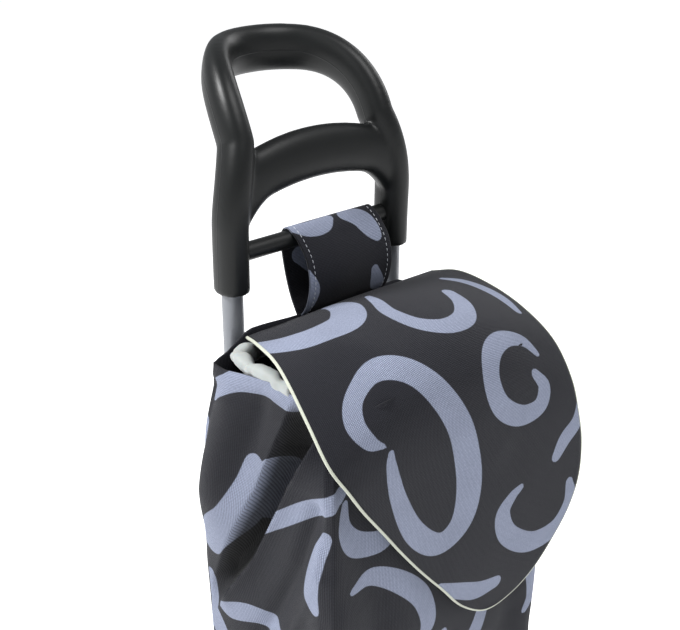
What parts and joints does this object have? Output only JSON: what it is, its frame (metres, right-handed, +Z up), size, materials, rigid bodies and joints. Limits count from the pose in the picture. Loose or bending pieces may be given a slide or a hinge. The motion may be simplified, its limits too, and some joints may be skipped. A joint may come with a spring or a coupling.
{
  "type": "shopping trolley",
  "caption": "Two-wheeled shopping trolley: tube frame, moulded grip, soft printed bag with a flap, gathered mouth and folding prop.",
  "frame": {"origin": "on the floor, under the middle of the trolley's bounding box", "axes": "+Z up; the bag and its flap face -Y, the uprights, grip and axle are on the +Y side; X runs along the axle, +X to the right seen from the front"},
  "size_m": [0.394, 0.354, 0.9272],
  "materials": {
    "black_plastic": "black moulded plastic, satin",
    "grey_tube": "grey powder coat, satin",
    "bracket_plastic": "black moulded plastic, matte",
    "zinc": "zinc-plated steel",
    "rim_plastic": "black plastic, lightly grained",
    "tyre": "matte black rubber with tread grooves",
    "rubber": "matte black rubber",
    "printed_cloth": "woven polyester, near-black navy with a blue-grey swirl print",
    "nylon": "thin pale grey nylon, gathered",
    "piping": "cream piping",
    "board": "stiff dark board"
  },
  "bodies": {
    "trolley": {"axle": "zinc", "axle_spacers": "bracket_plastic", "axle_washers": "zinc", "bag_back": "printed_cloth", "bag_bottom": "printed_cloth", "bag_front": "printed_cloth", "bag_gusset_left": "printed_cloth", "bag_gusset_right": "printed_cloth", "base_board": "board", "bracket_bolts": "zinc", "bracket_left": "bracket_plastic", "bracket_right": "bracket_plastic", "cross_rod": "black_plastic", "crossbar_low": "grey_tube", "crossbar_mid": "grey_tube", "deck_tube": "grey_tube", "deck_wires": "grey_tube", "drawstring_collar": "nylon", "grip": "black_plastic", "hanging_loop": "printed_cloth", "prop_rivets": "zinc", "push_nuts": "zinc", "upright_left": "grey_tube", "upright_right": "grey_tube"},
    "wheel_left": {"rim_left": "rim_plastic", "tyre_left": "tyre", "hub_cap_left": "rim_plastic"},
    "wheel_right": {"rim_right": "rim_plastic", "tyre_right": "tyre", "hub_cap_right": "rim_plastic"},
    "prop": {"prop": "grey_tube", "rubber_feet": "rubber"},
    "flap": {"flap": "printed_cloth", "flap_piping": "piping"}
  },
  "joints": [
    {"name": "left_wheel_spin", "type": "hinge", "parent": "trolley", "child": "wheel_left", "pos_m": [-0.173, 0.08, 0.08], "axis": [1, 0, 0], "continuous": true},
    {"name": "right_wheel_spin", "type": "hinge", "parent": "trolley", "child": "wheel_right", "pos_m": [0.173, 0.08, 0.08], "axis": [1, 0, 0], "continuous": true},
    {"name": "prop_fold", "type": "hinge", "parent": "trolley", "child": "prop", "pos_m": [0, -0.085, 0.088], "axis": [1, 0, 0], "range_deg": [0, 104]},
    {"name": "flap_lift", "type": "hinge", "parent": "trolley", "child": "flap", "pos_m": [0, 0.0245, 0.647], "axis": [-1, 0, 0], "range_deg": [0, 64], "deforming": ["hanging_loop"]}
  ]
}
